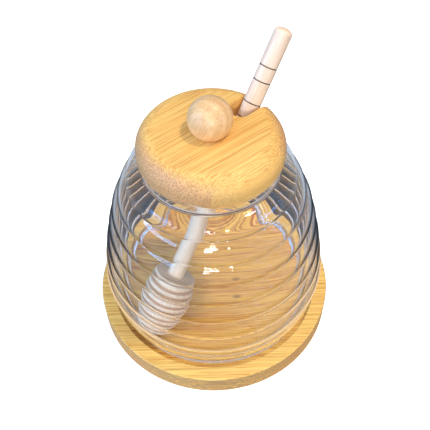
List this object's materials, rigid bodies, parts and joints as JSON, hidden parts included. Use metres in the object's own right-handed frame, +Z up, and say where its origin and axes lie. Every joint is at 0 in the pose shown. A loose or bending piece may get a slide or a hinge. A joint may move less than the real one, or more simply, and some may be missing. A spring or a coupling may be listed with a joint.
{
  "type": "honey jar with lid, dipper and tray",
  "caption": "Empty beehive-ribbed glass honey jar with a notched bamboo lid, ball knob and leaning wooden dipper, standing in the recess of a round bamboo tray.",
  "frame": {"origin": "on the table under the middle of the tray", "axes": "+Z up along the axis of tray, jar and lid; +X towards the open side of the notch in the lid, where the dipper comes out"},
  "size_m": [0.1188, 0.1188, 0.1466],
  "materials": {
    "tray_bamboo": "light yellow bamboo with fine straight grain, satin",
    "jar_glass": "clear polished glass",
    "lid_bamboo": "golden bamboo with fine straight grain, satin",
    "knob_wood": "peach-beige beech with soft curved grain, satin",
    "dipper_wood": "pale turned beech with thin burnt rings, matt"
  },
  "bodies": {
    "root": {"tray": "tray_bamboo", "jar": "jar_glass", "lid": "lid_bamboo", "knob": "knob_wood", "dipper": "dipper_wood"}
  },
  "joints": []
}
